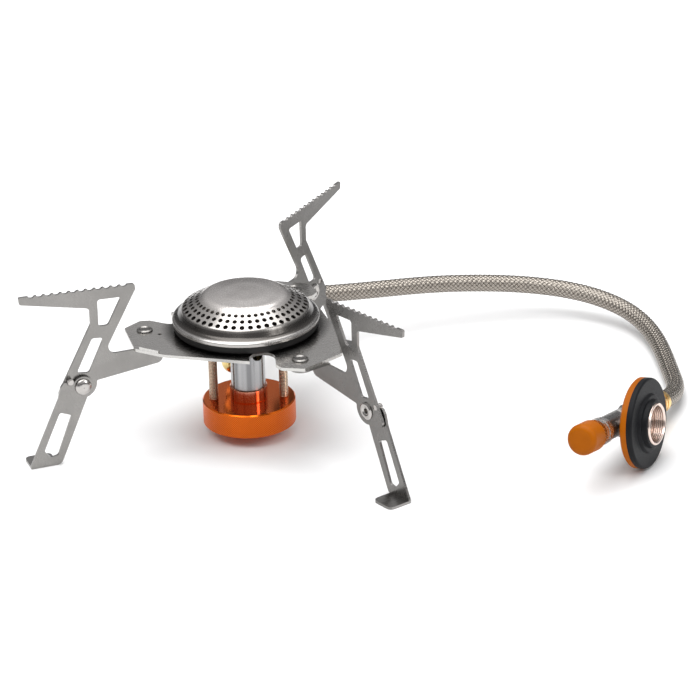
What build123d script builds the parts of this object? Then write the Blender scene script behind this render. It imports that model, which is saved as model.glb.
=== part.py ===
from build123d import *
import math
import os

# Remote-canister camping stove: a burner head on a three-lobed support plate, three folding
# legs that are also the pot arms, and a valve for the gas canister on a braided hose.
# Millimetres. The origin is on the burner axis, on the ground plane. +Z is up.

# ---- Support plate ----------------------------------------------------------------------
PLATE_TOP = 51.6
PLATE_T = 1.4
PLATE_BOTTOM = PLATE_TOP - PLATE_T
LOBE_AZ = [180.5, 300.5, 60.5]     # direction of each lobe, degrees
SWING_RADIUS = 45.4                # burner axis to the swing rivet of a leg
NOTCH_R = 5.7                      # round notch in each long edge of the plate
LIP_TURN = 147.7                   # a short stiffening lip stands on one edge of each lobe
LIP_LENGTH = 10.0
LIP_RISE = 1.3
DETENT_RADIUS = 39.0
DETENT_AZ = 7.0

# ---- Burner -----------------------------------------------------------------------------
BURNER_R = 33.0
PAN_R = 32.4
PAN_T = 0.6
RIM_Z = 56.4                       # the pan's edge, where the cap is rolled over it
PORTS_PER_ROW = 46
PORT_ROWS = [(21.5, 65.9, 0.95), (24.3, 64.27, 1.05), (27.1, 62.65, 1.15)]   # radius, height, port size

# ---- Base and mixing tube ---------------------------------------------------------------
BASE_R = 21.0
BASE_BOTTOM = 5.2
BASE_TOP = 16.9
HUB_R = 8.4
HUB_TOP = 23.1
TUBE_R = 7.75
TUBE_WALL = 0.85
TUBE_TOP = 54.2
TUBE_BORE = TUBE_R - TUBE_WALL
AIR_HOLE_R = 3.2
AIR_HOLE_Z = 40.2
AIR_HOLE_AZ = [40, 130, 220, 310]
SCREW_X = 15.8                     # two M4 screws join the base to the plate
SCREW_R = 2.0
NUT_FLATS = 7.0
NUT_H = 3.2

# ---- Gas inlet at the burner ------------------------------------------------------------
ELBOW = (-6.5, 13.5, 28.7)
ELBOW_R = 5.4
OUTLET_AZ = 84.0                   # the elbow points the hose to the back
STUB_R = 2.9

# ---- Legs -------------------------------------------------------------------------------
# A leg is drawn in its own frame: its swing rivet is the Z axis, X points outward along the
# sheet, and the sheet stands at SHEET_Y.
REST_SWING = [18.0, 5.0, -4.0]     # how far each leg is turned from its lobe, degrees
SHEET_T = 1.2
SHEET_Y = 9.95
RUN_GAP = 0.05
SWING_WASHER_T = 0.5
FLANGE_TOP = PLATE_BOTTOM - SWING_WASHER_T - RUN_GAP
FLANGE_BOTTOM = FLANGE_TOP - SHEET_T
RIVET_R = 2.0
ARM_IN = (6.8, 80.1)               # inner end of the pot arm's top edge
ARM_OUT = (59.8, 82.4)             # outer end of the pot arm's top edge
SCALLOPS = 12
SCALLOP_R = 1.7
SCALLOP_LIFT = 0.85
PIVOT = (33.6, 35.8)               # fold rivet
STOP = (39.3, 39.1)                # stop pin
STOP_R = 1.4
FOLD_WASHER_T = 0.4
LOWER_Y = SHEET_Y + SHEET_T + RUN_GAP + FOLD_WASHER_T + RUN_GAP
FOOT_REACH = 11.5

# ---- Valve ------------------------------------------------------------------------------
# Valve frame: X runs from the knob to the hose, Z points into the canister.
VALVE_AT = (163.3, -47.0, 19.25)
VALVE_X = (0.5043, 0.8392, -0.2034)
VALVE_Z = (0.8634, -0.4935, 0.1044)
BODY_R = 5.5
BOSS_R = 7.2
BOSS_TOP = 6.5
ADAPTER_R = 20.1
RING_BACK = 7.6
RING_FRONT = 10.8
FLANGE_FRONT = 13.4
MOUTH_Z = 17.4
INSERT_R = 9.3
MOUTH_R = 8.0
THREAD_R = 5.15
THREAD_BOTTOM = 8.6
THREAD_TOP = 12.6
SEAL_POCKET_R = 5.7
SPINDLE_R = 1.9
KNOB_R = 6.9
KNOB_BACK = -30.6
KNOB_FRONT = -43.6
FERRULE_END = 45.0

# ---- Hose -------------------------------------------------------------------------------
HOSE_D = 8.4
HOSE_FIRST = 24.0                  # elbow centre to the free hose
# Between the two ferrules the hose goes round the back leg and comes down to the ground.
HOSE_MIDDLE = [(-0.2, 64.6, 28.1), (6.3, 77.6, 27.2), (16.2, 88.2, 26.0), (28.7, 95.6, 24.6),
               (53.0, 101.7, 22.8), (86.0, 111.3, 20.9), (110.0, 115.2, 19.2), (133.0, 117.0, 16.9),
               (153.5, 115.2, 14.4), (170.0, 109.4, 11.9), (183.0, 98.6, 9.4), (190.8, 84.0, 7.2),
               (194.5, 67.0, 5.7), (195.7, 49.5, 4.9), (196.1, 32.0, 4.8), (196.2, 15.4, 5.7)]

valve_plane = Plane(origin=VALVE_AT, x_dir=VALVE_X, z_dir=VALVE_Z)
parts = {}


# ---- Helpers ----------------------------------------------------------------------------
def outline(corners):
    """A face from (x, y, corner radius) triples."""
    points = [(x, y) for x, y, _ in corners]
    radii = [radius for _, _, radius in corners]
    return make_face(FilletPolyline(*points, radius=radii, close=True))


def upright(face, y_low, thickness):
    """A flat XY face stood up in the XZ plane and thickened from y_low towards +Y."""
    return extrude(Plane.XZ.offset(-(y_low + thickness)) * face, amount=thickness)


def rod(radius, low, high):
    return Pos(0, 0, low) * Cylinder(radius, high - low, align=(Align.CENTER, Align.CENTER, Align.MIN))


def tube(radius, bore, low, high):
    return rod(radius, low, high) - rod(bore, low - 1, high + 1)


def hexagon(flats, low, high):
    return Pos(0, 0, low) * extrude(RegularPolygon(flats / 2, 6, major_radius=False), amount=high - low)


def turned(profile):
    """A solid of revolution about Z from (radius, height) corners."""
    return revolve(Plane.XZ * make_face(Polyline(*profile, close=True)), Axis.Z)


def cross_rod(radius, x, z, low, high):
    """A rod along +Y."""
    return Pos(x, low, z) * Rot(-90, 0, 0) * rod(radius, 0, high - low)


def along_x(solid):
    """Turn a solid drawn on +Z onto +X."""
    return Rot(0, 90, 0) * solid


def polar(radius, azimuth):
    return radius * math.cos(math.radians(azimuth)), radius * math.sin(math.radians(azimuth))


# ---- Plate and burner -------------------------------------------------------------------
def lobe_corners(azimuth):
    """One lobe and the long edge after it, with the lobe's direction as +X."""
    corners = [(43.0, -11.2, 2), (47.6, -11.2, 2), (54.6, -3.6, 1.5), (50.0, 19.2, 2),
               (37.2, 27.3, 8), (0.2, 38.4, 1)]
    turned_corners = []
    for x, y, radius in corners:
        point = Vector(x, y).rotate(Axis.Z, azimuth)
        turned_corners.append((point.X, point.Y, radius))
    return turned_corners


def support_plate():
    corners = []
    for azimuth in LOBE_AZ:
        corners += lobe_corners(azimuth)
    face = outline(corners)
    notch = Pos(-6.2, 35.2) * (Circle(NOTCH_R) + Pos(0, 10) * Rectangle(2 * NOTCH_R, 20))
    for azimuth in LOBE_AZ:
        face -= Rot(0, 0, azimuth) * notch
        face -= Pos(*polar(SWING_RADIUS, azimuth)) * Circle(RIVET_R)
        face -= Pos(*polar(DETENT_RADIUS, azimuth + DETENT_AZ)) * Circle(0.9)
    face -= Circle(TUBE_R)
    for x in (-SCREW_X, SCREW_X):
        face -= Pos(x, 0) * Circle(SCREW_R)
    plate = Pos(0, 0, PLATE_BOTTOM) * extrude(face, amount=PLATE_T)
    lip = Pos(43.3, 22.8, PLATE_BOTTOM) * Rot(0, 0, LIP_TURN) * Box(
        LIP_LENGTH, 1.0, PLATE_T + LIP_RISE, align=(Align.CENTER, Align.CENTER, Align.MIN))
    return plate + [Rot(0, 0, azimuth) * lip for azimuth in LOBE_AZ]


def burner_pan():
    pan = turned([(TUBE_R, PLATE_TOP), (PAN_R - 1.2, PLATE_TOP), (PAN_R, PLATE_TOP + 1.2), (PAN_R, RIM_Z),
                  (PAN_R - PAN_T, RIM_Z), (PAN_R - PAN_T, PLATE_TOP + 1.4), (PAN_R - 1.4, PLATE_TOP + PAN_T),
                  (TUBE_R, PLATE_TOP + PAN_T)])
    for x in (-SCREW_X, SCREW_X):
        pan -= Pos(x, 0, 0) * rod(SCREW_R, PLATE_TOP - 1, PLATE_TOP + 2)
    return pan


def burner_cap():
    corners = [(0, 69.2, 0), (10.0, 68.9, 30), (18.0, 68.0, 6), (20.0, 66.75, 1.2), (28.4, 61.9, 2),
               (30.4, 58.6, 2), (32.4, 57.6, 0.8), (BURNER_R, 57.0, 0.5), (BURNER_R, 55.6, 0.5),
               (32.4, 55.2, 0), (32.4, RIM_Z, 0), (31.9, RIM_Z, 0), (29.4, 57.6, 2), (27.6, 60.9, 1.5),
               (19.6, 65.5, 2), (17.6, 66.8, 4), (10.0, 67.7, 28), (0, 68.0, 0)]
    cap = revolve(Plane.XZ * outline(corners), Axis.Z)
    for radius, height, port in PORT_ROWS:
        drill = Pos(radius, 0, height) * Rot(0, 31, 0) * Cylinder(port, 4.5)
        cap -= [Rot(0, 0, i * 360 / PORTS_PER_ROW) * drill for i in range(PORTS_PER_ROW)]
    return cap


def flame_spreader():
    spreader = turned([(0, 59.6), (23.0, 58.4), (23.0, 59.0), (0, 60.2)])
    for i in range(12):
        spreader -= Rot(0, 0, 30 * i) * Pos(17, 0, 55) * rod(1.6, 0, 8)
    leg = Pos(21.5, 0, PLATE_TOP + PAN_T) * Box(1.0, 3.0, 58.8 - PLATE_TOP - PAN_T,
                                               align=(Align.CENTER, Align.CENTER, Align.MIN))
    for azimuth in (30, 150, 270):
        spreader += Rot(0, 0, azimuth) * leg
    return spreader


def mixing_tube():
    tube_wall = turned([(TUBE_BORE, HUB_TOP), (TUBE_R, HUB_TOP), (TUBE_R, PLATE_BOTTOM - 1.0),
                        (TUBE_R + 0.9, PLATE_BOTTOM - 1.0), (TUBE_R + 0.9, PLATE_BOTTOM),
                        (TUBE_R, PLATE_BOTTOM), (TUBE_R, TUBE_TOP), (TUBE_BORE, TUBE_TOP)])
    for azimuth in AIR_HOLE_AZ:
        tube_wall -= Rot(0, 0, azimuth) * Pos(0, 0, AIR_HOLE_Z) * along_x(rod(AIR_HOLE_R, 3, 10))
    tube_wall -= inlet_stub(STUB_R, 4, 12)
    return tube_wall


def base_disc():
    base = turned([(0, BASE_BOTTOM), (BASE_R - 1.0, BASE_BOTTOM), (BASE_R, BASE_BOTTOM + 0.8),
                   (BASE_R, BASE_TOP - 0.5), (BASE_R - 0.5, BASE_TOP), (HUB_R, BASE_TOP),
                   (HUB_R, HUB_TOP - 0.4), (HUB_R - 0.4, HUB_TOP), (5.0, HUB_TOP), (5.0, BASE_TOP), (0, BASE_TOP)])
    for x in (-SCREW_X, SCREW_X):
        base -= Pos(x, 0, 0) * (rod(SCREW_R, 0, HUB_TOP) + rod(3.8, 0, BASE_BOTTOM + 2.4))
    return base


def base_screws():
    screw = rod(3.7, BASE_BOTTOM + 0.3, BASE_BOTTOM + 2.4) + rod(SCREW_R, BASE_BOTTOM + 2.4, PLATE_TOP + 4.6)
    screw -= hexagon(2.5, BASE_BOTTOM, BASE_BOTTOM + 1.6)
    return Compound([Pos(x, 0, 0) * screw for x in (-SCREW_X, SCREW_X)])


def screw_nuts():
    nut_low = PLATE_TOP + PAN_T
    nut = hexagon(NUT_FLATS, nut_low, nut_low + NUT_H) - rod(SCREW_R, nut_low - 1, nut_low + NUT_H + 1)
    return Compound([Pos(x, 0, 0) * nut for x in (-SCREW_X, SCREW_X)])


# ---- Gas inlet --------------------------------------------------------------------------
def inlet_stub(radius, start, end):
    """A rod from near the tube's axis towards the elbow."""
    azimuth = math.degrees(math.atan2(ELBOW[1], ELBOW[0]))
    return Pos(0, 0, ELBOW[2]) * Rot(0, 0, azimuth) * along_x(rod(radius, start, end))


def outlet(solid):
    """Put a solid drawn on +Z on the elbow's outlet."""
    return Pos(*ELBOW) * Rot(0, 0, OUTLET_AZ) * along_x(solid)


def jet_holder():
    holder = rod(TUBE_BORE, HUB_TOP, 33.0) + rod(5.0, BASE_TOP, HUB_TOP)
    holder -= rod(1.2, ELBOW[2] - 3, 34)
    holder -= inlet_stub(STUB_R, 4.0, 9)
    holder -= inlet_stub(1.0, 0, 5)
    return holder - rod(1.6, 31.0, 34)


def gas_jet():
    jet = hexagon(5.0, 33.0, 35.2) + rod(1.6, 31.0, 33.0) + rod(1.7, 35.2, 37.4)
    return jet - rod(0.8, 30, 36.6) - rod(0.2, 36, 38)


def inlet_elbow():
    reach = math.hypot(ELBOW[0], ELBOW[1])
    elbow = Pos(*ELBOW) * Sphere(ELBOW_R) + inlet_stub(STUB_R, 4.0, 14) + outlet(rod(4.2, 0, 8.5))
    return elbow - (inlet_stub(1.0, 3.0, reach) + Pos(*ELBOW) * Sphere(1.5) + outlet(rod(1.0, 0, 9)))


def inlet_nut():
    return outlet(hexagon(10.0, 8.5, 14.0) - rod(1.6, 8, 15))


def burner_ferrule():
    grip = rod(4.8, 14.0, HOSE_FIRST)
    for height in (16.5, 19.0, 21.5):
        grip -= tube(5.3, 4.45, height, height + 0.9)
    return outlet(grip - rod(1.6, 13, HOSE_FIRST + 1))


# ---- Legs -------------------------------------------------------------------------------
def leg_place(index):
    x, y = polar(SWING_RADIUS, LOBE_AZ[index])
    return Pos(x, y, 0) * Rot(0, 0, LOBE_AZ[index] + REST_SWING[index])


def bracket_face():
    face = outline([(-4.5, FLANGE_TOP, 0), (-4.5, 40.4, 3), (26.6, 36.9, 0.8), (26.6, 28.3, 6.8),
                    (45.8, 31.2, 2.5), (28.1, 64.1, 1.5), (28.1, 71.8, 2), (59.5, 78.9, 0.8),
                    (*ARM_OUT, 0.6), (*ARM_IN, 1.2), (6.6, 77.4, 1.0), (22.9, FLANGE_BOTTOM, 3.5),
                    (7.0, FLANGE_BOTTOM, 0), (7.0, FLANGE_TOP, 0)])
    face -= outline([(24.3, 75.3, 1.2), (13.3, 74.8, 0.8), (20.0, 62.4, 1.8), (24.4, 62.6, 1.2)])
    face -= outline([(27.8, 57.3, 1.2), (22.3, 56.9, 1.2), (30.0, 41.2, 1.5), (35.7, 41.9, 1.2)])
    face -= Pos(*PIVOT) * Circle(RIVET_R)
    face -= Pos(*STOP) * Circle(STOP_R)
    rise = (ARM_OUT[1] - ARM_IN[1]) / (ARM_OUT[0] - ARM_IN[0])
    first = ARM_IN[0] + 3.0
    pitch = (ARM_OUT[0] - 4.0 - first) / SCALLOPS
    for i in range(SCALLOPS):
        x = first + (i + 0.5) * pitch
        face -= Pos(x, ARM_IN[1] + (x - ARM_IN[0]) * rise + SCALLOP_LIFT) * Circle(SCALLOP_R)
    return face


def leg_bracket():
    sheet = upright(bracket_face(), SHEET_Y, SHEET_T)
    outer_y = SHEET_Y + SHEET_T
    flange = extrude(outline([(-6.0, outer_y, 0), (-6.0, -6.2, 5), (7.0, -6.2, 5), (7.0, outer_y, 0)]),
                     amount=SHEET_T)
    bracket = sheet + Pos(0, 0, FLANGE_BOTTOM) * flange
    bend = [edge for edge in bracket.edges().filter_by(Axis.X)
            if abs(edge.center().Y - outer_y) < 0.01 and abs(edge.center().Z - FLANGE_TOP) < 0.01]
    bracket = fillet(bend, 1.1)
    return bracket - rod(RIVET_R + RUN_GAP, FLANGE_BOTTOM - 1, FLANGE_TOP + 1)


def swing_rivet():
    head = turned([(0, PLATE_TOP), (3.7, PLATE_TOP), (3.5, PLATE_TOP + 0.7), (2.7, PLATE_TOP + 1.1),
                   (1.9, PLATE_TOP + 0.7), (0, PLATE_TOP + 0.6)])
    tail_top = FLANGE_BOTTOM - RUN_GAP
    return head + rod(RIVET_R, tail_top, PLATE_TOP) + rod(3.4, tail_top - 1.3, tail_top)


def swing_washer():
    return tube(4.6, RIVET_R, PLATE_BOTTOM - SWING_WASHER_T, PLATE_BOTTOM)


def lower_leg():
    face = outline([(29.3, 36.4, 0), (44.0, 3.6, 2), (45.4, 0.8, 1), (47.4, 0, 1), (60.4, 0, 1.2),
                    (45.3, 31.6, 4), (43.9, 37.0, 1.5), (42.4, 39.1, 0.7), (37.4, 38.4, 0), (34.0, 38.0, 0)])
    face += Pos(*PIVOT) * Circle(4.7)
    face -= Pos(*PIVOT) * Circle(RIVET_R + RUN_GAP)
    face -= Pos(*STOP) * Circle(STOP_R + 0.3)
    face -= outline([(39.6, 23.0, 1.0), (45.0, 25.2, 1.2), (53.2, 7.6, 1.4), (50.2, 4.2, 1.4), (46.9, 4.8, 1.4)])
    leg = upright(face, LOWER_Y, SHEET_T)
    outer_y = LOWER_Y + SHEET_T
    inner_y = outer_y - FOOT_REACH
    foot = extrude(outline([(47.6, outer_y, 0), (47.6, inner_y, 2.5), (59.6, inner_y, 2.5), (59.6, outer_y, 0)]),
                   amount=SHEET_T)
    return leg + foot


def fold_rivet():
    outer_y = LOWER_Y + SHEET_T + RUN_GAP
    dome = revolve(Plane.XZ * outline([(0, 0, 0), (3.8, 0, 0), (3.7, 0.9, 0.8), (2.2, 1.9, 3), (0, 2.0, 0)]), Axis.Z)
    flare = turned([(0, 0), (3.8, 0), (4.0, -0.4), (3.2, -0.9), (2.3, -0.9), (1.5, -0.4), (0, -0.4)])
    shank = cross_rod(RIVET_R, *PIVOT, SHEET_Y, outer_y)
    stand = Pos(PIVOT[0], 0, PIVOT[1]) * Rot(-90, 0, 0)
    rivet = shank + Pos(0, outer_y, 0) * stand * dome + Pos(0, SHEET_Y, 0) * stand * flare
    return rivet - cross_rod(1.3, *PIVOT, SHEET_Y - 1, SHEET_Y + 2.0)


def fold_washer():
    low = SHEET_Y + SHEET_T
    high = LOWER_Y - RUN_GAP
    return cross_rod(4.4, *PIVOT, low, high) - cross_rod(RIVET_R, *PIVOT, low - 1, high + 1)


def stop_pin():
    end = LOWER_Y + SHEET_T + 0.6
    return cross_rod(STOP_R, *STOP, SHEET_Y + 0.3, end) + cross_rod(STOP_R - 0.4, *STOP, end, end + 0.3)


# ---- Valve ------------------------------------------------------------------------------
def placed(solid):
    return valve_plane.location * solid


def valve_body():
    body = along_x(rod(BODY_R, -22.0, 14.0) + rod(4.6, 14.0, 28.0)) + rod(BOSS_R, 0, BOSS_TOP)
    body -= along_x(rod(SPINDLE_R + RUN_GAP, -23.0, -6.0))
    body -= along_x(rod(3.0, -23.0, -17.4))
    body -= along_x(rod(1.2, -6.5, 29.0))
    return body - rod(1.2, 0, BOSS_TOP) - rod(3.0, 4.6, BOSS_TOP + 1)


def gland_nut():
    nut = along_x(rod(6.2, -28.6, -26.6) + rod(5.2, -26.6, -25.4) + rod(6.2, -25.4, -22.0))
    return nut - along_x(rod(SPINDLE_R + RUN_GAP, -30, -21))


def spindle_seal():
    return along_x(tube(3.0, SPINDLE_R + RUN_GAP, -22.0, -17.4))


def valve_needle():
    tip = turned([(0, -5.0), (0.6, -6.0), (SPINDLE_R, -8.5), (SPINDLE_R, -40.4), (0, -40.4)])
    return along_x(tip)


def control_knob():
    length = KNOB_BACK - KNOB_FRONT
    knob = Pos(0, 0, KNOB_FRONT) * Cylinder(KNOB_R, length, align=(Align.CENTER, Align.CENTER, Align.MIN))
    ends = knob.edges().filter_by(GeomType.CIRCLE).sort_by(Axis.Z)
    knob = fillet(ends[0], 2.2)
    knob = chamfer(knob.edges().filter_by(GeomType.CIRCLE).sort_by(Axis.Z)[-1], 1.8, 1.8)
    return along_x(knob - rod(SPINDLE_R + RUN_GAP, -40.5, KNOB_BACK + 1))


def adapter_ring():
    return turned([(14.0, RING_BACK), (ADAPTER_R - 0.8, RING_BACK), (ADAPTER_R, RING_BACK + 0.8),
                   (ADAPTER_R, RING_FRONT), (14.0, RING_FRONT)])


def adapter_flange():
    corners = [(INSERT_R, RING_BACK, 0), (14.0, RING_BACK, 0), (14.0, RING_FRONT, 0), (ADAPTER_R, RING_FRONT, 0),
               (ADAPTER_R, FLANGE_FRONT, 1.0), (13.2, FLANGE_FRONT, 0.4), (12.4, FLANGE_FRONT + 1.2, 0.4),
               (10.9, FLANGE_FRONT + 1.2, 0.3), (10.5, MOUTH_Z - 0.9, 0.3), (INSERT_R, MOUTH_Z - 0.7, 0)]
    return revolve(Plane.XZ * outline(corners), Axis.Z)


def adapter_insert():
    return turned([(SEAL_POCKET_R, BOSS_TOP), (INSERT_R, BOSS_TOP), (INSERT_R, MOUTH_Z - 0.3),
                   (INSERT_R - 0.3, MOUTH_Z), (MOUTH_R + 0.5, MOUTH_Z), (MOUTH_R, MOUTH_Z - 0.5),
                   (MOUTH_R, THREAD_TOP), (THREAD_R, THREAD_TOP), (THREAD_R, THREAD_BOTTOM),
                   (SEAL_POCKET_R, THREAD_BOTTOM)])


def canister_seal():
    return Pos(0, 0, BOSS_TOP + 1.0) * Torus(4.0, 0.95)


def opening_pin():
    return tube(1.3, 0.5, BOSS_TOP, THREAD_BOTTOM - 0.3) + tube(2.9, 0.5, BOSS_TOP, BOSS_TOP + 0.8)


def inlet_filter():
    return rod(3.0, 4.6, BOSS_TOP)


def valve_ferrule():
    grip = hexagon(10.0, 28.0, 33.5) + rod(5.0, 33.5, FERRULE_END)
    for height in (36.0, 38.6, 41.2):
        grip -= tube(5.6, 4.65, height, height + 0.9)
    return along_x(grip - rod(1.6, 27, FERRULE_END + 1))


# ---- Hose -------------------------------------------------------------------------------
def hose_points():
    first = outlet(Pos(0, 0, HOSE_FIRST)).position
    after = outlet(Pos(0, 0, HOSE_FIRST + 13)).position
    last = placed(Pos(FERRULE_END, 0, 0)).position
    before = placed(Pos(FERRULE_END + 13, 0, 0)).position
    return [first, after] + [Vector(*point) for point in HOSE_MIDDLE] + [before, last]


def gas_hose():
    points = hose_points()
    runs = [(b - a).length for a, b in zip(points, points[1:])]
    radii = []
    for i in range(1, len(points) - 1):
        turn = (points[i] - points[i - 1]).get_angle(points[i + 1] - points[i])
        radii.append(0.45 * min(runs[i - 1], runs[i]) / math.tan(math.radians(turn) / 2))
    route = FilletPolyline(*points, radius=radii)
    section = Plane(origin=points[0], z_dir=points[1] - points[0]) * Circle(HOSE_D / 2)
    hose = sweep(section, path=route)
    ideal = math.pi * (HOSE_D / 2) ** 2 * route.length
    print("hose radii", [round(radius) for radius in radii])
    print("hose length", round(route.length, 1), "volume ratio", round(hose.volume / ideal, 4))
    return hose


# ---- Assembly ---------------------------------------------------------------------------
fixed = [support_plate, burner_pan, burner_cap, flame_spreader, mixing_tube, base_disc, base_screws,
         screw_nuts, jet_holder, gas_jet, inlet_elbow, inlet_nut, burner_ferrule, gas_hose]
for maker in fixed:
    parts[maker.__name__] = maker()

for maker in (valve_body, gland_nut, spindle_seal, valve_needle, control_knob, adapter_ring,
              adapter_flange, adapter_insert, canister_seal, opening_pin, inlet_filter, valve_ferrule):
    parts[maker.__name__] = placed(maker())

for maker in (leg_bracket, swing_rivet, swing_washer, lower_leg, fold_rivet, fold_washer, stop_pin):
    shape = maker()
    for index in range(3):
        parts[f"{maker.__name__}_{index + 1}"] = leg_place(index) * shape

os.makedirs("parts", exist_ok=True)
for name, shape in parts.items():
    export_step(shape, f"parts/{name}.step")
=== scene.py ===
import bpy
import math
from mathutils import Matrix, Vector


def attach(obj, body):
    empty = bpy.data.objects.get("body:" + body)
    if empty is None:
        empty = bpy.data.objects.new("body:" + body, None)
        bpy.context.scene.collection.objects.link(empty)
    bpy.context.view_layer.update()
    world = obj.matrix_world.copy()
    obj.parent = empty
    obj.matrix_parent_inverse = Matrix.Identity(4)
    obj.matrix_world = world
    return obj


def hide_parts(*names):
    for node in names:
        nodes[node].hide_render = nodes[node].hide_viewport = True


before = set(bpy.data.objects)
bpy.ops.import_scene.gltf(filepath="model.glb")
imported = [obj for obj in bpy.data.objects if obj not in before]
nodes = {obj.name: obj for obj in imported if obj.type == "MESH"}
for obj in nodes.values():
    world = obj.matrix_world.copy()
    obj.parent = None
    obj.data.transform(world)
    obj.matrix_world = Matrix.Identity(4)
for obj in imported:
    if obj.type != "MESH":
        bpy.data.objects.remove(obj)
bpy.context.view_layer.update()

# ---- Camera -----------------------------------------------------------------------------
camera_data = bpy.data.cameras.new("camera")
camera_data.lens = 171.85
camera_data.sensor_width = 36.0
camera_data.clip_start = 0.05
camera_data.clip_end = 60.0
camera = bpy.data.objects.new("camera", camera_data)
bpy.context.scene.collection.objects.link(camera)
forward = Vector((0.03074, 0.91220, -0.40858)).normalized()
right = Vector((0.99868, -0.04489, -0.02507)).normalized()
up = right.cross(forward).normalized()
turn = Matrix((right, up, -forward)).transposed()
camera.matrix_world = Matrix.Translation((0.0, -1.3717, 0.6522)) @ turn.to_4x4()
bpy.context.scene.camera = camera


# ---- Material kit -----------------------------------------------------------------------
class Shader:
    """A node material built in a few calls."""

    def __init__(self, name, color, rough, metal=0.0, **sockets):
        self.mat = bpy.data.materials.new(name)
        self.mat.use_nodes = True
        self.tree = self.mat.node_tree
        self.bsdf = self.tree.nodes["Principled BSDF"]
        self.bsdf.inputs["Base Color"].default_value = (*color, 1.0)
        self.bsdf.inputs["Roughness"].default_value = rough
        self.bsdf.inputs["Metallic"].default_value = metal
        for key, value in sockets.items():
            self.bsdf.inputs[key.replace("_", " ")].default_value = value
        self.height = None

    def node(self, kind, **settings):
        made = self.tree.nodes.new(kind)
        for key, value in settings.items():
            setattr(made, key, value)
        return made

    def link(self, source, target):
        self.tree.links.new(source, target)

    def feed(self, target, value):
        if isinstance(value, bpy.types.NodeSocket):
            self.link(value, target)
        else:
            target.default_value = value

    def math(self, operation, a, b=0.0, clamp=False):
        made = self.node("ShaderNodeMath", operation=operation, use_clamp=clamp)
        self.feed(made.inputs[0], a)
        self.feed(made.inputs[1], b)
        return made.outputs[0]

    def dot(self, vector, axis):
        made = self.node("ShaderNodeVectorMath", operation="DOT_PRODUCT")
        self.link(vector, made.inputs[0])
        made.inputs[1].default_value = axis
        return made.outputs["Value"]

    def position(self):
        return self.node("ShaderNodeTexCoord").outputs["Object"]

    def normal(self):
        return self.node("ShaderNodeTexCoord").outputs["Normal"]

    def axis_radius(self):
        """Distance from the burner axis."""
        flat = self.node("ShaderNodeVectorMath", operation="MULTIPLY")
        self.link(self.position(), flat.inputs[0])
        flat.inputs[1].default_value = (1.0, 1.0, 0.0)
        length = self.node("ShaderNodeVectorMath", operation="LENGTH")
        self.link(flat.outputs[0], length.inputs[0])
        return length.outputs["Value"]

    def attribute(self, name):
        return self.node("ShaderNodeAttribute", attribute_name=name).outputs["Vector"]

    def combine(self, x, y, z):
        made = self.node("ShaderNodeCombineXYZ")
        for target, value in zip(made.inputs, (x, y, z)):
            self.feed(target, value)
        return made.outputs[0]

    def noise(self, where, scale, detail=3.0, rough=0.55):
        made = self.node("ShaderNodeTexNoise")
        self.link(where, made.inputs["Vector"])
        made.inputs["Scale"].default_value = scale
        made.inputs["Detail"].default_value = detail
        made.inputs["Roughness"].default_value = rough
        return made.outputs["Fac"]

    def fit(self, value, low, high, to_low, to_high):
        made = self.node("ShaderNodeMapRange")
        self.link(value, made.inputs["Value"])
        for key, number in (("From Min", low), ("From Max", high), ("To Min", to_low), ("To Max", to_high)):
            made.inputs[key].default_value = number
        return made.outputs["Result"]

    def tint(self, factor, color_a, color_b):
        made = self.node("ShaderNodeMix", data_type="RGBA")
        self.feed(made.inputs[0], factor)
        for slot, color in ((6, color_a), (7, color_b)):
            if isinstance(color, bpy.types.NodeSocket):
                self.link(color, made.inputs[slot])
            else:
                made.inputs[slot].default_value = (*color, 1.0)
        return made.outputs[2]

    def color(self, socket):
        self.link(socket, self.bsdf.inputs["Base Color"])

    def rough(self, socket):
        self.link(socket, self.bsdf.inputs["Roughness"])

    def bump(self, height, distance, strength=1.0):
        made = self.node("ShaderNodeBump")
        made.inputs["Distance"].default_value = distance
        made.inputs["Strength"].default_value = strength
        self.link(height, made.inputs["Height"])
        if self.height is not None:
            self.link(self.height, made.inputs["Normal"])
        self.height = made.outputs["Normal"]
        self.link(self.height, self.bsdf.inputs["Normal"])


def dress(shader, *names):
    """Give a CAD node or a piece its finish."""
    for name in names:
        data = (nodes[name] if name in nodes else bpy.data.objects[name]).data
        if len(data.materials) == 0:
            data.materials.append(shader.mat)
        for slot in range(len(data.materials)):
            data.materials[slot] = shader.mat


# ---- Gas hose ---------------------------------------------------------------------------
HOSE_D = 0.0084
HOSE_ROUTE = [
    (-0.00399, 0.03737, 0.0287), (-0.00263, 0.05030, 0.0287), (-0.0002, 0.0646, 0.0281),
    (0.0063, 0.0776, 0.0272), (0.0162, 0.0882, 0.0260), (0.0287, 0.0956, 0.0246),
    (0.0530, 0.1017, 0.0228), (0.0860, 0.1113, 0.0209), (0.1100, 0.1152, 0.0192),
    (0.1330, 0.1170, 0.0169), (0.1535, 0.1152, 0.0144), (0.1700, 0.1094, 0.0119),
    (0.1830, 0.0986, 0.0094), (0.1908, 0.0840, 0.0072), (0.1945, 0.0670, 0.0057),
    (0.1957, 0.0495, 0.0049), (0.1961, 0.0320, 0.0048), (0.1962, 0.0154, 0.0057),
    (0.19255, 0.00167, 0.00745), (0.18599, -0.00924, 0.0101)]
HOSE_STEP = 0.00038
HOSE_AROUND = 96

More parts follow.
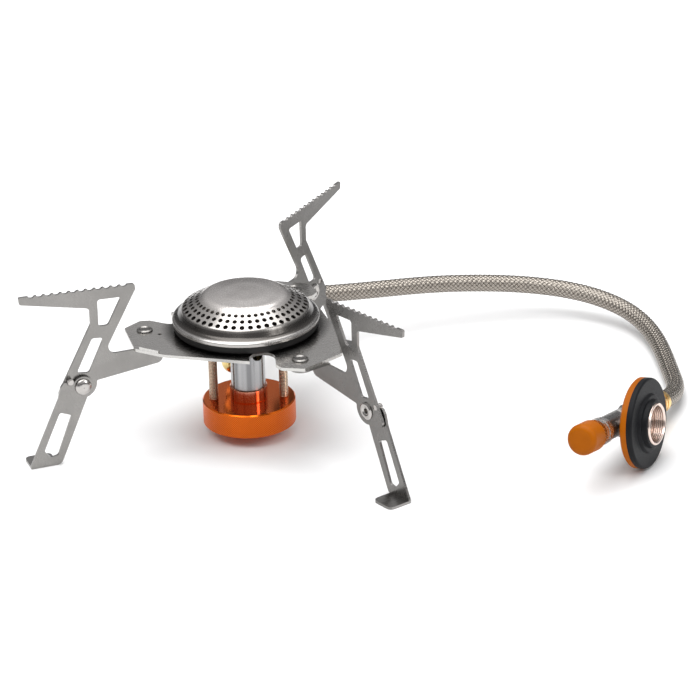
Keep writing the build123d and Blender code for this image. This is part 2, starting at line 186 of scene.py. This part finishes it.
guide = bpy.data.curves.new("hose_guide", "CURVE")
guide.dimensions = "3D"
guide.resolution_u = 24
spline = guide.splines.new("NURBS")
spline.points.add(len(HOSE_ROUTE) - 1)
for point, place in zip(spline.points, HOSE_ROUTE):
    point.co = (*place, 1.0)
spline.order_u = 3
spline.use_endpoint_u = True
guide_object = bpy.data.objects.new("hose_guide", guide)
bpy.context.scene.collection.objects.link(guide_object)
bpy.context.view_layer.update()
guide_shape = guide_object.evaluated_get(bpy.context.evaluated_depsgraph_get())
guide_mesh = bpy.data.meshes.new_from_object(guide_shape)
guide_line = [vertex.co.copy() for vertex in guide_mesh.vertices]
bpy.data.objects.remove(guide_object)
bpy.data.meshes.remove(guide_mesh)


def even_line(line, step):
    """The same line, in equal steps of about the given length."""
    lengths = [0.0]
    for a, b in zip(line, line[1:]):
        lengths.append(lengths[-1] + (b - a).length)
    count = round(lengths[-1] / step)
    made = []
    k = 0
    for i in range(count + 1):
        target = lengths[-1] * i / count
        while k < len(line) - 2 and lengths[k + 1] < target:
            k += 1
        share = (target - lengths[k]) / (lengths[k + 1] - lengths[k])
        made.append(line[k].lerp(line[k + 1], share))
    return made, lengths[-1]


def line_frames(line):
    """Two cross directions at each point, carried along without twist."""
    made = []
    side = Vector((0, 0, 1))
    for i in range(len(line)):
        tangent = (line[min(i + 1, len(line) - 1)] - line[max(i - 1, 0)]).normalized()
        side = (side - tangent * side.dot(tangent)).normalized()
        made.append((side, tangent.cross(side)))
    return made


CARRIERS = 12
BRAID_LAY = 0.028
BRAID_DEPTH = 0.00035


def braided_tube(name, line, radius, around):
    """A tube with the braid's over-and-under pillows, whose mesh carries its own length and angle."""
    frames = line_frames(line)
    step = (line[1] - line[0]).length
    verts = []
    for i, (centre, (side, cross)) in enumerate(zip(line, frames)):
        for j in range(around):
            angle = 2 * math.pi * j / around
            plus = CARRIERS * (j / around + i * step / BRAID_LAY)
            minus = CARRIERS * (j / around - i * step / BRAID_LAY)
            pillow = math.sqrt(abs(math.sin(math.pi * plus) * math.sin(math.pi * minus)))
            here = radius - BRAID_DEPTH * (1 - pillow)
            verts.append(centre + (side * math.cos(angle) + cross * math.sin(angle)) * here)
    faces = []
    for i in range(len(line) - 1):
        for j in range(around):
            k = (j + 1) % around
            faces.append((i * around + j, i * around + k, (i + 1) * around + k, (i + 1) * around + j))
    faces.append(tuple(range(around - 1, -1, -1)))
    faces.append(tuple((len(line) - 1) * around + j for j in range(around)))
    mesh = bpy.data.meshes.new(name)
    mesh.from_pydata(verts, [], faces)
    braid = mesh.attributes.new("braid", "FLOAT_VECTOR", "CORNER")
    for face in mesh.polygons:
        for loop in face.loop_indices:
            vertex = mesh.loops[loop].vertex_index
            ring, spot = divmod(vertex, around)
            if face.index < len(faces) - 2 and spot == 0 and (face.index % around) == around - 1:
                spot = around
            braid.data[loop].vector = (ring * step, spot / around, 0.0)
        face.use_smooth = face.index < len(faces) - 2
    made = bpy.data.objects.new(name, mesh)
    bpy.context.scene.collection.objects.link(made)
    return made


hose_line, hose_length = even_line(guide_line, HOSE_STEP)
hose = braided_tube("braided_hose", hose_line, HOSE_D / 2, HOSE_AROUND)
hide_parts("gas_hose")
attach(hose, "stove")


# ---- Finishes ---------------------------------------------------------------------------
def brushed(name, color, rough, direction, across, face, edge):
    """Sheet steel brushed along one direction, with another tone at its cut edges; also its colour."""
    s = Shader(name, color, rough, 1.0)
    place = s.position()
    along_value = s.math("MULTIPLY", s.dot(place, direction), 0.06)
    grain = s.noise(s.combine(along_value, s.dot(place, across), 0.0), 5200.0, 2.0)
    patch = s.noise(place, 95.0, 4.0)
    tone = s.tint(grain, tuple(c * 0.88 for c in color), tuple(c * 1.14 for c in color))
    tone = s.tint(s.fit(patch, 0.35, 0.7, 0.0, 0.30), tone, tuple(c * 0.72 for c in color))
    facing = s.math("ABSOLUTE", s.dot(s.normal(), face))
    tone = s.tint(s.fit(facing, 0.35, 0.6, 1.0, 0.0), tone, edge)
    s.color(tone)
    s.rough(s.fit(s.math("ADD", grain, patch), 0.7, 1.3, rough - 0.06, rough + 0.09))
    s.bump(grain, 0.00001, 0.35)
    return s, tone


plate, plate_tone = brushed("plate_steel", (0.62, 0.60, 0.575), 0.24, (0.94, -0.34, 0.0), (0.34, 0.94, 0.0),
                            (0, 0, 1), (0.55, 0.54, 0.52))
# Painted shade: the plate is painted near-black close round the burner, standing in for the burner's dark
# reflection and shadow on it.
plate_burner_shade = plate.fit(plate.axis_radius(), 0.0335, 0.0385, 1.0, 0.0)
plate.color(plate.tint(plate_burner_shade, plate_tone, (0.10, 0.095, 0.09)))
dress(plate, "support_plate")

LEG_AZ = [198.5, 305.5, 56.5]
# Painted shade: the three legs are one steel, each painted its own grey for how light falls on it.
LEG_SHADE = [0.285, 0.205, 0.175]
for i, (azimuth, tone) in enumerate(zip(LEG_AZ, LEG_SHADE)):
    a = math.radians(azimuth)
    out = Vector((math.cos(a), math.sin(a), 0.0))
    face = Vector((-math.sin(a), math.cos(a), 0.0))
    grain_dir = (out * 0.42 + Vector((0, 0, 0.9))).normalized()
    cross_dir = grain_dir.cross(face).normalized()
    steel = (tone, tone * 0.97, tone * 0.93)
    leg_steel = brushed(f"leg_steel_{i + 1}", steel, 0.28, grain_dir, cross_dir, face, (0.30, 0.29, 0.28))[0]
    dress(leg_steel, f"leg_bracket_{i + 1}", f"lower_leg_{i + 1}")


def plain_metal(name, color, rough, bump=0.0000003):
    """Turned or pressed metal with fine handling marks."""
    s = Shader(name, color, rough, 1.0)
    place = s.position()
    fine = s.noise(place, 1400.0, 3.0, 0.5)
    broad = s.noise(place, 120.0, 3.0)
    s.color(s.tint(s.fit(broad, 0.35, 0.7, 0.0, 0.6), color, tuple(c * 0.78 for c in color)))
    s.rough(s.fit(fine, 0.3, 0.7, rough - 0.04, rough + 0.06))
    s.bump(fine, bump, 0.4)
    return s


dark_rivet = plain_metal("swing_rivet_steel", (0.24, 0.23, 0.22), 0.28)
light_rivet = plain_metal("fold_rivet_steel", (0.52, 0.50, 0.48), 0.22)
for k in (1, 2, 3):
    dress(dark_rivet, f"swing_rivet_{k}", f"swing_washer_{k}")
    dress(light_rivet, f"fold_rivet_{k}", f"fold_washer_{k}", f"stop_pin_{k}")


cap = Shader("cap_steel", (0.50, 0.475, 0.45), 0.24, 1.0)
cap_radius = cap.axis_radius()
cap_rings = cap.noise(cap.combine(cap_radius, 0.0, 0.0), 1250.0, 2.0)
cap_broad = cap.noise(cap.position(), 60.0, 3.0)
# Painted light on one pressed steel: the crown is painted lighter than the port ring, and the flare below
# the ports is painted near-black as painted shade.
cap_crown_painted_light = cap.tint(cap.fit(cap_broad, 0.35, 0.7, 0.0, 1.0), (0.86, 0.82, 0.79), (0.70, 0.66, 0.63))
cap_ports = cap.tint(cap_broad, (0.52, 0.495, 0.47), (0.42, 0.40, 0.38))
cap_flare_painted_shade = cap.tint(cap_rings, (0.055, 0.050, 0.046), (0.12, 0.112, 0.105))
cap_painted_zones = cap.tint(cap.fit(cap_radius, 0.0185, 0.0210, 0.0, 1.0), cap_crown_painted_light, cap_ports)
cap_painted_zones = cap.tint(cap.fit(cap_radius, 0.0280, 0.0292, 0.0, 1.0), cap_painted_zones, cap_flare_painted_shade)
cap.color(cap.tint(cap.fit(cap_radius, 0.0315, 0.0323, 0.0, 1.0), cap_painted_zones, (0.42, 0.405, 0.39)))
cap.rough(cap.fit(cap.noise(cap.position(), 2600.0, 2.0), 0.3, 0.7, 0.20, 0.30))
cap.bump(cap_rings, 0.000004, 0.25)
dress(cap, "burner_cap")

spreader = plain_metal("spreader_steel", (0.30, 0.28, 0.26), 0.4)
dress(spreader, "flame_spreader")

# Painted shade: the burner pan is painted near-black to stand for the shade under the cap's rim.
pan = Shader("pan_black", (0.010, 0.010, 0.010), 0.42, 0.0, Specular_IOR_Level=0.2)
pan_fine = pan.noise(pan.position(), 1800.0, 3.0)
pan.color(pan.tint(pan_fine, (0.008, 0.008, 0.008), (0.022, 0.021, 0.020)))
pan.bump(pan_fine, 0.00003, 0.5)
dress(pan, "burner_pan")

tube = Shader("tube_alloy", (0.38, 0.38, 0.385), 0.2, 1.0)
tube_split = tube.node("ShaderNodeSeparateXYZ")
tube.link(tube.position(), tube_split.inputs[0])
tube_angle = tube.math("ARCTAN2", tube_split.outputs["Y"], tube_split.outputs["X"])
# Painted reflection: dark vertical bands are painted round the tube by angle, for the dark surroundings it
# mirrors.
tube_painted_reflections = tube.noise(tube.combine(tube_angle, 0.0, 0.0), 1.6, 1.0)
tube_lines = tube.noise(tube.combine(0.0, 0.0, tube_split.outputs["Z"]), 2500.0, 2.0)
tube_tone = tube.tint(tube_lines, (0.34, 0.34, 0.345), (0.42, 0.42, 0.425))
tube.color(tube.tint(tube.fit(tube_painted_reflections, 0.45, 0.62, 0.0, 0.8), tube_tone, (0.16, 0.16, 0.165)))
tube.bump(tube_lines, 0.00001, 0.3)
dress(tube, "mixing_tube")


BASE_R = 0.021
KNURLS_AROUND = 132


def knurled_base():
    """Orange anodised alloy: a fine diamond knurl on the rim with its grooves painted darker as painted
    shade, smooth faces elsewhere, and copper-toned bands painted on the hub as painted reflections.
    """
    s = Shader("anodised_orange", (0.80, 0.17, 0.012), 0.22, 1.0)
    place = s.position()
    split = s.node("ShaderNodeSeparateXYZ")
    s.link(place, split.inputs[0])
    angle = s.math("ARCTAN2", split.outputs["Y"], split.outputs["X"])
    arc = s.math("MULTIPLY", angle, BASE_R)
    pitch = 2 * math.pi * BASE_R / KNURLS_AROUND
    waves = []
    for sign in (1.0, -1.0):
        slant = s.math("MULTIPLY_ADD", split.outputs["Z"], sign)
        slant.node.inputs[2].default_value = 0.0
        s.link(arc, slant.node.inputs[2])
        waves.append(s.math("SINE", s.math("MULTIPLY", slant, 2 * math.pi / pitch)))
    diamond = s.math("MULTIPLY", s.math("ADD", waves[0], waves[1]), 0.5)
    level = s.math("ABSOLUTE", s.dot(s.normal(), (0, 0, 1)))
    side = s.fit(level, 0.1, 0.3, 1.0, 0.0)
    mask = s.math("MULTIPLY", side, s.fit(split.outputs["Z"], 0.0166, 0.0172, 1.0, 0.0))
    grain = s.noise(place, 1500.0, 3.0)
    # Painted shade: the knurl is painted dark in its grooves and bright on its peaks.
    knurl_painted_shade = s.tint(s.fit(diamond, -0.9, 0.9, 0.0, 1.0), (0.50, 0.060, 0.008), (0.88, 0.21, 0.022))
    smooth = s.tint(grain, (0.72, 0.115, 0.008), (0.84, 0.18, 0.014))
    # Painted reflection: the upper hub gets lighter, copper-toned vertical bands by angle, as painted
    # reflections and highlight.
    bands = s.noise(s.combine(angle, 0.0, 0.0), 4.0, 2.0)
    hub_painted_reflection = s.tint(s.fit(bands, 0.4, 0.65, 0.0, 1.0), (0.80, 0.42, 0.30), (0.52, 0.16, 0.09))
    smooth = s.tint(s.fit(split.outputs["Z"], 0.0170, 0.0176, 0.0, 1.0), smooth, hub_painted_reflection)
    s.color(s.tint(mask, smooth, knurl_painted_shade))
    s.rough(s.fit(mask, 0.0, 1.0, 0.16, 0.34))
    s.bump(s.math("MULTIPLY", diamond, mask), 0.00012, 0.7)
    return s


dress(knurled_base(), "base_disc")


def threaded(name, color, rough, pitch, axis, groove_shade):
    """Metal with a fine thread along one axis, its grooves painted darker as painted shade; faces square to
    that axis stay smooth.
    """
    s = Shader(name, color, rough, 1.0)
    wave = s.math("SINE", s.math("MULTIPLY", s.dot(s.position(), axis), 2 * math.pi / pitch))
    side = s.fit(s.math("ABSOLUTE", s.dot(s.normal(), axis)), 0.2, 0.5, 1.0, 0.0)
    groove_shade_mask = s.math("MULTIPLY", s.fit(wave, -1.0, 0.6, 1.0, 0.0), side)
    # Painted shade: the thread's grooves are painted darker.
    s.color(s.tint(groove_shade_mask, color, tuple(c * groove_shade for c in color)))
    s.bump(s.math("MULTIPLY", wave, side), 0.00012, 0.7)
    return s


VALVE_Z = (0.8634, -0.4935, 0.1044)
dress(threaded("screw_steel", (0.95, 0.72, 0.53), 0.25, 0.0007, (0, 0, 1), 0.35), "base_screws")
dress(threaded("insert_thread", (0.80, 0.66, 0.59), 0.24, 0.0009, VALVE_Z, 0.45), "adapter_insert")
dress(plain_metal("nut_steel", (0.55, 0.52, 0.48), 0.28), "screw_nuts")
dress(plain_metal("inlet_brass", (0.78, 0.60, 0.26), 0.22),
      "inlet_elbow", "inlet_nut", "jet_holder", "gas_jet")
dress(plain_metal("ferrule_brass", (0.95, 0.66, 0.28), 0.28), "burner_ferrule", "valve_ferrule")
dress(plain_metal("valve_steel", (0.34, 0.33, 0.32), 0.28), "valve_body")
dress(plain_metal("gland_steel", (0.92, 0.90, 0.88), 0.24), "gland_nut", "valve_needle", "opening_pin")
dress(plain_metal("filter_mesh", (0.5, 0.5, 0.5), 0.4, 0.00003), "inlet_filter")


def plastic(name, color, rough):
    s = Shader(name, color, rough, 0.0, Specular_IOR_Level=0.12)
    grain = s.noise(s.position(), 1600.0, 3.0)
    broad = s.noise(s.position(), 70.0, 2.0)
    darker = tuple(c * 0.86 for c in color)
    lighter = tuple(c * 1.08 for c in color)
    s.color(s.tint(s.fit(broad, 0.3, 0.7, 0.0, 1.0), darker, lighter))
    s.rough(s.fit(grain, 0.3, 0.7, rough - 0.06, rough + 0.08))
    s.bump(grain, 0.00002, 0.4)
    return s


dress(plastic("knob_plastic", (0.38, 0.096, 0.0), 0.42), "control_knob", "adapter_ring")
dress(plastic("flange_black", (0.010, 0.0105, 0.012), 0.42), "adapter_flange")
dress(plastic("seal_rubber", (0.015, 0.015, 0.015), 0.6), "canister_seal", "spindle_seal")


def braid():
    """Stainless wire braid: flat bundles of wires crossing over and under each other."""
    s = Shader("hose_braid", (0.55, 0.53, 0.50), 0.26, 1.0)
    split = s.node("ShaderNodeSeparateXYZ")
    s.link(s.attribute("braid"), split.inputs[0])
    turns = s.math("MULTIPLY", split.outputs["X"], CARRIERS / BRAID_LAY)
    round_it = s.math("MULTIPLY", split.outputs["Y"], float(CARRIERS))
    plus = s.math("ADD", round_it, turns)
    minus = s.math("SUBTRACT", round_it, turns)
    waves = [s.math("SINE", s.math("MULTIPLY", p, math.pi)) for p in (plus, minus)]
    product = s.math("MULTIPLY", waves[0], waves[1])
    wires = [s.math("ABSOLUTE", s.math("SINE", s.math("MULTIPLY", p, 5 * math.pi))) for p in (plus, minus)]
    pick = s.node("ShaderNodeMix", data_type="FLOAT")
    s.link(s.fit(product, -0.02, 0.02, 0.0, 1.0), pick.inputs[0])
    s.link(wires[0], pick.inputs[2])
    s.link(wires[1], pick.inputs[3])
    wire = pick.outputs[0]
    pillow = s.math("POWER", s.math("ABSOLUTE", product), 0.5)
    # Painted shade: the weave is painted darker in its hollows, between the wires and where the bundles dip
    # under each other.
    shade = s.math("MULTIPLY", s.fit(pillow, 0.1, 0.75, 0.0, 1.0), s.fit(wire, 0.0, 0.6, 0.35, 1.0))
    s.color(s.tint(shade, (0.085, 0.072, 0.060), (0.46, 0.42, 0.372)))
    s.bump(wire, 0.00006, 0.8)
    return s


dress(braid(), "braided_hose")


# ---- Studio -----------------------------------------------------------------------------
def floor():
    mesh = bpy.data.meshes.new("floor")
    size = 12.0
    corners = [(-size, -size, 0), (size, -size, 0), (size, size, 0), (-size, size, 0)]
    mesh.from_pydata(corners, [], [(0, 1, 2, 3)])
    made = bpy.data.objects.new("floor", mesh)
    bpy.context.scene.collection.objects.link(made)
    s = Shader("floor", (0.90, 0.90, 0.90), 0.9, 0.0, Specular_IOR_Level=0.0)
    mesh.materials.append(s.mat)


def soft_box(name, place, target, width, height, power, color=(1, 1, 1)):
    light = bpy.data.lights.new(name, "AREA")
    light.shape = "RECTANGLE"
    light.size = width
    light.size_y = height
    light.energy = power
    light.color = color
    made = bpy.data.objects.new(name, light)
    made.location = place
    made.rotation_euler = (Vector(target) - Vector(place)).to_track_quat("-Z", "Y").to_euler()
    bpy.context.scene.collection.objects.link(made)


floor()
centre = (0.06, 0.02, 0.04)
soft_box("key", (-0.35, -0.35, 1.7), centre, 1.7, 1.7, 30)
soft_box("fill", (1.5, -1.0, 1.3), centre, 0.6, 0.9, 9)
soft_box("wash", (0.3, 0.9, 2.4), centre, 1.6, 1.0, 16)

world = bpy.data.worlds.new("studio")
world.use_nodes = True
bpy.context.scene.world = world
tree = world.node_tree
background = tree.nodes["Background"]
coords = tree.nodes.new("ShaderNodeTexCoord")
split = tree.nodes.new("ShaderNodeSeparateXYZ")
tree.links.new(coords.outputs["Generated"], split.inputs[0])
ramp = tree.nodes.new("ShaderNodeValToRGB")
ramp.color_ramp.elements[0].position = 0.0
ramp.color_ramp.elements[0].color = (0.08, 0.08, 0.085, 1)
ramp.color_ramp.elements[1].position = 0.75
ramp.color_ramp.elements[1].color = (0.75, 0.75, 0.76, 1)
tree.links.new(split.outputs["Z"], ramp.inputs[0])
tree.links.new(ramp.outputs[0], background.inputs[0])
background.inputs[1].default_value = 0.85
bpy.context.scene.view_settings.view_transform = "Standard"
